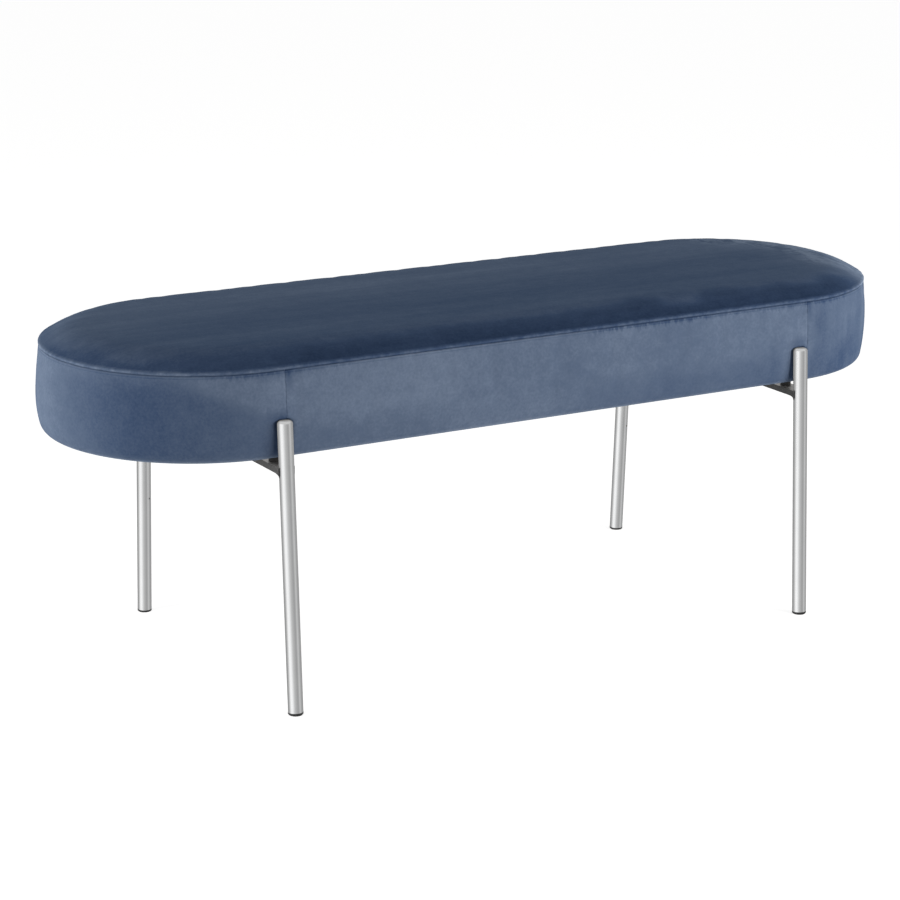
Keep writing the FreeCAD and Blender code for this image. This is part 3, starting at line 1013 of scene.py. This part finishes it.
class Nodes:
    """A short way to write the nodes and links of a material or a world."""

    def __init__(self, name, blocks=None):
        blocks = bpy.data.materials if blocks is None else blocks
        self.block = blocks.new(name)
        self.block.use_nodes = True
        self.tree = self.block.node_tree
        self.shader = self.tree.nodes.get("Principled BSDF")

    def add(self, kind, **inputs):
        node = self.tree.nodes.new("ShaderNode" + kind)
        for key, value in inputs.items():
            self.put(node.inputs[key.replace("_", " ")], value)
        return node

    def put(self, socket, value):
        if isinstance(value, bpy.types.NodeSocket):
            self.tree.links.new(value, socket)
        else:
            socket.default_value = value

    def set(self, **inputs):
        for key, value in inputs.items():
            self.put(self.shader.inputs[key.replace("_", " ")], value)

    def kept(self, name):
        """A value stored at the mesh's points."""
        node = self.add("Attribute")
        node.attribute_name = name
        return node.outputs["Fac"]

    def facing_up(self):
        """1 on level faces, 0 on upright ones and -1 underneath."""
        return self.add("SeparateXYZ", Vector=self.add("NewGeometry").outputs["Normal"]).outputs["Z"]

    def noise(self, scale, detail=2.0, roughness=0.5, stretch=(1, 1, 1)):
        """Noise in object coordinates stretched by a scale."""
        mapping = self.add("Mapping", Vector=self.add("TexCoord").outputs["Object"])
        mapping.inputs["Scale"].default_value = stretch
        node = self.add("TexNoise", Vector=mapping.outputs["Vector"], Scale=scale, Detail=detail,
                        Roughness=roughness)
        return node.outputs["Fac"]

    def spread(self, value, low, high, to_low, to_high):
        """A value between two limits, moved to lie between two others."""
        node = self.add("MapRange", Value=value)
        for key, number in (("From Min", low), ("From Max", high), ("To Min", to_low), ("To Max", to_high)):
            node.inputs[key].default_value = number
        return node.outputs["Result"]

    def mottle(self, dark, light, scale, detail, roughness, stretch=(1, 1, 1), counted=(0.3, 0.7)):
        """Noise between two tones, of which the counted middle share is spread over all of them."""
        return self.spread(self.noise(scale, detail, roughness, stretch), *counted, dark, light)

    def math(self, operation, first, second=0.0):
        node = self.add("Math")
        node.operation = operation
        self.put(node.inputs[0], first)
        self.put(node.inputs[1], second)
        return node.outputs[0]

    def total(self, first, *others):
        for other in others:
            first = self.math("ADD", first, other)
        return first

    def times(self, first, second):
        return self.math("MULTIPLY", first, second)

    def seen(self):
        """1 for what the camera sees, also through clear things, and 0 for all other light."""
        path = self.add("LightPath")
        return self.math("MAXIMUM", path.outputs["Is Camera Ray"], path.outputs["Is Transmission Ray"])

    def ridge(self, value, centre, width, height):
        """A rise of one height where the value is at its centre, gone one width away."""
        away = self.math("ABSOLUTE", self.math("SUBTRACT", value, centre))
        return self.spread(away, 0, width, height, 0)

    def ramp(self, value, stops):
        node = self.add("ValToRGB", Fac=value)
        elements = node.color_ramp.elements
        while len(elements) < len(stops):
            elements.new(0.5)
        for element, (position, colour) in zip(elements, stops):
            element.position = position
            element.color = (*colour, 1)
        return node.outputs["Color"]

    def mix(self, share, first, second):
        """A colour that goes from the first to the second as the share goes from 0 to 1."""
        node = self.add("Mix")
        node.data_type = "RGBA"
        ends = [socket for socket in node.inputs if socket.type == "RGBA"]
        self.put(node.inputs["Factor"], share)
        self.put(ends[0], first)
        self.put(ends[1], second)
        return [socket for socket in node.outputs if socket.type == "RGBA"][0]

    def bump(self, height, strength, distance):
        node = self.add("Bump", Height=height, Strength=strength, Distance=distance)
        self.set(Normal=node.outputs["Normal"])


def pile_tone(nodes):
    """The uneven lie of the pile: clouds and mottling, strokes on the top, dashes of painted highlight round
    its right end, streaks at one end.
    """
    clouds = nodes.mottle(-0.022, 0.022, 7.0, 3.0, 0.55)
    small = nodes.mottle(-0.022, 0.022, 60.0, 3.0, 0.6)
    mottling = nodes.mottle(-0.028, 0.028, 300.0, 2.0, 0.6)
    strokes = nodes.mottle(-0.035, 0.035, 26.0, 3.0, 0.55, (0.09, 1, 1))
    fine_strokes = nodes.mottle(-0.014, 0.014, 120.0, 2.0, 0.55, (0.07, 1, 1))
    strokes = nodes.times(nodes.total(strokes, fine_strokes), nodes.kept("strokes"))
    dashes = nodes.mottle(-0.13, 0.17, 90.0, 2.0, 0.6, (1, 0.35, 1), (0.4, 0.6))
    dashes = nodes.times(dashes, nodes.kept("dashes"))
    streaks = nodes.mottle(-0.075, 0.05, 26.0, 2.0, 0.55, (1, 1, 0.3), (0.35, 0.65))
    streaks = nodes.times(streaks, nodes.kept("streaks"))
    return nodes.total(clouds, small, mottling, strokes, dashes, streaks)


def seam_tone(nodes):
    """What the seams do to the velvet's tone: ruffles below the long one, lips with painted sheen, painted
    shade under the long seam's lip, and lines beside each upright one with painted shade in the crease.
    """
    below = nodes.kept("below_seam")
    past = nodes.kept("past_upright")
    depth = nodes.mottle(*ruffle_depths, 220.0, 3.0, 0.65, (1, 1, 0.11), (0.36, 0.68))
    share = nodes.spread(nodes.math("DIVIDE", below, depth), 0.0, 1.0, 1, 0)
    ruffles = nodes.times(nodes.times(share, nodes.kept("ruffled")), ruffle_tone)
    specks = nodes.mottle(0.6, 1.15, 90.0, 2.0, 0.6, counted=(0.38, 0.62))
    lip = nodes.times(nodes.ridge(below, *lip_sheen), specks)
    lip = nodes.times(lip, nodes.spread(below, -0.6, 0, 1, 0))
    crease = nodes.times(nodes.ridge(past, *upright_crease), nodes.spread(below, *crease_fade, 1, 0))
    crease = nodes.times(crease, nodes.spread(past, -0.5, 0.5, 0, 1))
    return nodes.total(ruffles, lip, nodes.ridge(below, *under_lip_shade), nodes.ridge(past, *upright_line),
                       nodes.ridge(past, *upright_lip_sheen), crease)


def velvet_material():
    """Short-pile velvet: its brushed tone with painted shade and painted sheen in it, what its seams do to
    it, and a soft sheen.
    """
    nodes = Nodes("velvet")
    tone = nodes.total(nodes.kept("tone_and_shading"), pile_tone(nodes), seam_tone(nodes))
    colour = nodes.ramp(tone, velvet_colours)
    nodes.set(Base_Color=colour, Roughness=0.9, Specular_IOR_Level=0.0, Sheen_Weight=0.09,
              Sheen_Roughness=0.4, Sheen_Tint=(0.42, 0.645, 1.0, 1))
    nodes.bump(nodes.noise(900.0, 2.0, 0.7), 0.3, 0.4 * MM)
    return nodes.block


def metal_material(name, dark, light, roughness):
    """Polished metal with the faint unevenness of polishing, and painted shade where it lies close to other
    pieces.
    """
    nodes = Nodes(name)
    cloud = nodes.noise(30.0, 3.0, 0.6)
    grain = nodes.noise(1400.0, 2.0, 0.6, (1, 1, 0.05))
    open_share = nodes.add("AmbientOcclusion", Distance=contact_shade_reach).outputs["AO"]
    colour = nodes.add("VectorMath", Vector=nodes.ramp(cloud, [(0.2, dark), (0.8, light)]))
    colour.operation = "SCALE"
    nodes.put(colour.inputs["Scale"], nodes.spread(open_share, *contact_shade_open, contact_shade_dark, 1.0))
    nodes.set(Base_Color=colour.outputs["Vector"], Metallic=1.0,
              Roughness=nodes.spread(cloud, 0.3, 0.7, roughness - 0.015, roughness + 0.015))
    nodes.bump(grain, 0.012, 0.05 * MM)
    return nodes.block


def bar_material():
    """Flat rolled steel: dull and dark with painted shade on its edges and underneath, pale with painted
    light and bare on top.
    """
    nodes = Nodes("bar_steel")
    grain = nodes.noise(260.0, 3.0, 0.6, (1, 0.2, 1))
    # Painted shade for the edges and underside, painted light for the top
    edge = nodes.ramp(grain, [(0.3, (0.075, 0.075, 0.076)), (0.7, (0.105, 0.105, 0.106))])
    lit_top = nodes.ramp(grain, [(0.3, (0.5, 0.49, 0.48)), (0.7, (0.64, 0.63, 0.62))])
    on_top = nodes.spread(nodes.facing_up(), 0.5, 0.9, 0, 1)
    nodes.set(Base_Color=nodes.mix(on_top, edge, lit_top), Metallic=nodes.spread(on_top, 0, 1, 0.2, 1.0),
              Roughness=nodes.spread(grain, 0.3, 0.7, 0.36, 0.46))
    nodes.bump(grain, 0.05, 0.3 * MM)
    return nodes.block


def plain_material(name, dark, light, roughness, scale, metallic=0.0, bump=0.2, stretch=(1, 1, 1)):
    """A finish with a fine grain between two tones."""
    nodes = Nodes(name)
    grain = nodes.noise(scale, 3.0, 0.6, stretch)
    colour = nodes.ramp(grain, [(0.3, dark), (0.7, light)])
    nodes.set(Base_Color=colour, Metallic=metallic,
              Roughness=nodes.spread(grain, 0.3, 0.7, roughness - 0.05, roughness + 0.05))
    nodes.bump(grain, bump, 0.3 * MM)
    return nodes.block


materials = {
    "velvet": velvet_material(),
    "leg_metal": metal_material("satin_chrome", (0.87, 0.875, 0.88), (0.93, 0.935, 0.94), 0.14),
    "bar_steel": bar_material(),
    "zinc_steel": plain_material("zinc", (0.42, 0.43, 0.45), (0.6, 0.61, 0.62), 0.38, 220.0,
                                 metallic=1.0, bump=0.1),
    "glide_plastic": plain_material("glide_plastic", (0.012, 0.012, 0.013), (0.03, 0.03, 0.031), 0.5, 900.0),
    "spacer_rubber": plain_material("spacer_rubber", (0.01, 0.01, 0.01), (0.025, 0.024, 0.024), 0.75, 700.0),
    "plywood": plain_material("plywood", (0.42, 0.27, 0.14), (0.62, 0.44, 0.27), 0.6, 60.0,
                              stretch=(0.1, 1, 1)),
    "dust_cloth": plain_material("dust_cloth", (0.012, 0.012, 0.014), (0.04, 0.04, 0.044), 0.9, 650.0,
                                 bump=0.6),
    "foam": plain_material("foam", (0.62, 0.55, 0.36), (0.8, 0.74, 0.55), 0.9, 500.0, bump=0.8),
    "wadding": plain_material("wadding", (0.75, 0.75, 0.73), (0.9, 0.9, 0.88), 0.95, 400.0, bump=0.8),
}


def dress_frame_nodes():
    """Gives each part carried over from the frame the finish of its slot, with smooth round faces."""
    for part in frame["record"]["subparts"]:
        node = frame["nodes"][part["node"]]
        node.data.materials.clear()
        node.data.materials.append(materials[part["material_slot"]])
        node.data.shade_smooth()
        node.data.set_sharp_from_angle(angle=math.radians(35))
    frame["nodes"]["base_board"].visible_glossy = False


def lamp(name, direction, size, power):
    """A soft rectangular lamp that stands in one direction from the bench and faces it."""
    light = bpy.data.lights.new(name, "AREA")
    light.shape = "RECTANGLE"
    light.size, light.size_y = size
    light.energy = power
    light.color = lamp_colour
    thing = bpy.data.objects.new(name, light)
    thing.visible_glossy = False
    thing.location = Vector((*direction, 0)).normalized() * lamp_distance + Vector((0, 0, lamp_height))
    aim = Vector((0, 0, lamp_aim_height)) - thing.location
    thing.rotation_euler = aim.to_track_quat("-Z", "Y").to_euler()
    bpy.context.scene.collection.objects.link(thing)


def make_world():
    """A white backdrop for the camera, grey studio tones for the metal, and a soft light for the rest."""
    studio_stops = [((bearing + 180) / 360, (tone,) * 3) for bearing, tone in studio_tones]
    nodes = Nodes("studio", bpy.data.worlds)
    bpy.context.scene.world = nodes.block
    ahead = nodes.add("SeparateXYZ", Vector=nodes.add("TexCoord").outputs["Generated"])
    ambient = nodes.spread(ahead.outputs["Z"], 0, 1, ambient_low, ambient_high)
    bearing = nodes.math("ARCTAN2", ahead.outputs["Y"], ahead.outputs["X"])
    walls = nodes.ramp(nodes.spread(bearing, -math.pi, math.pi, 0, 1), studio_stops)
    lit = nodes.add("MapRange", Value=nodes.seen(), To_Min=ambient, To_Max=1.0).outputs["Result"]
    overhead = nodes.spread(ahead.outputs["Z"], *ceiling_rise, 0, 1)
    mirrored = nodes.mix(overhead, walls, (studio_ceiling, studio_ceiling, studio_ceiling, 1))
    mirror_ray = nodes.add("LightPath").outputs["Is Glossy Ray"]
    nodes.put(nodes.tree.nodes["Background"].inputs["Color"], nodes.mix(mirror_ray, lit, mirrored))


def make_floor():
    """A plain white floor that keeps the bench's shadow, clear when it is seen from below.

    The metal sees the studio's walls instead.
    """
    corners = [(x * floor_reach, y * floor_reach, 0) for x, y in ((-1, -1), (1, -1), (1, 1), (-1, 1))]
    floor = mesh_from("floor", corners, [[0, 1, 2, 3]])
    nodes = Nodes("floor")
    glow = nodes.add("Emission", Color=(1, 1, 1, 1), Strength=nodes.times(nodes.seen(), floor_glow))
    nodes.set(Base_Color=(0.8, 0.8, 0.8, 1), Roughness=1.0, Specular_IOR_Level=0.0)
    both = nodes.add("AddShader")
    nodes.put(both.inputs[0], nodes.shader.outputs[0])
    nodes.put(both.inputs[1], glow.outputs[0])
    one_sided = nodes.add("MixShader", Fac=nodes.add("NewGeometry").outputs["Backfacing"])
    nodes.put(one_sided.inputs[1], both.outputs[0])
    nodes.put(one_sided.inputs[2], nodes.add("BsdfTransparent").outputs[0])
    out = nodes.tree.nodes["Material Output"]
    nodes.put(out.inputs["Surface"], one_sided.outputs[0])
    floor.data.materials.append(nodes.block)
    floor.visible_glossy = False


def make_camera():
    """The photograph's viewpoint, found from the seat's outline, its seam and the legs."""
    yaw = math.radians(31.156)
    pitch = math.radians(15.455)
    roll = math.radians(0.44)
    ahead = Vector((math.sin(yaw) * math.cos(pitch), math.cos(yaw) * math.cos(pitch), -math.sin(pitch)))
    right = Vector((math.cos(yaw), -math.sin(yaw), 0))
    up = right.cross(ahead)
    tilted_right = right * math.cos(roll) + up * math.sin(roll)
    tilted_up = up * math.cos(roll) - right * math.sin(roll)
    camera = bpy.data.objects.new("camera", bpy.data.cameras.new("camera"))
    bpy.context.scene.collection.objects.link(camera)
    rotation = Matrix((tilted_right, tilted_up, -ahead)).transposed()
    camera.matrix_world = Matrix.Translation((-1.783868, -3.007244, 1.195303)) @ rotation.to_4x4()
    camera.data.sensor_width = 36
    camera.data.lens = 108.324
    camera.data.shift_x = -0.05
    bpy.context.scene.camera = camera


dress_frame_nodes()
velvet_panels()
wadding_layer()
foam_core()
dust_cover()
make_world()
make_floor()
lamp("left_softbox", (-1.0, 0.05), (1.0, 1.1), 45)
lamp("right_softbox", (0.62, -0.78), (1.8, 1.1), 60)
make_camera()
bpy.context.scene.view_settings.view_transform = "Standard"
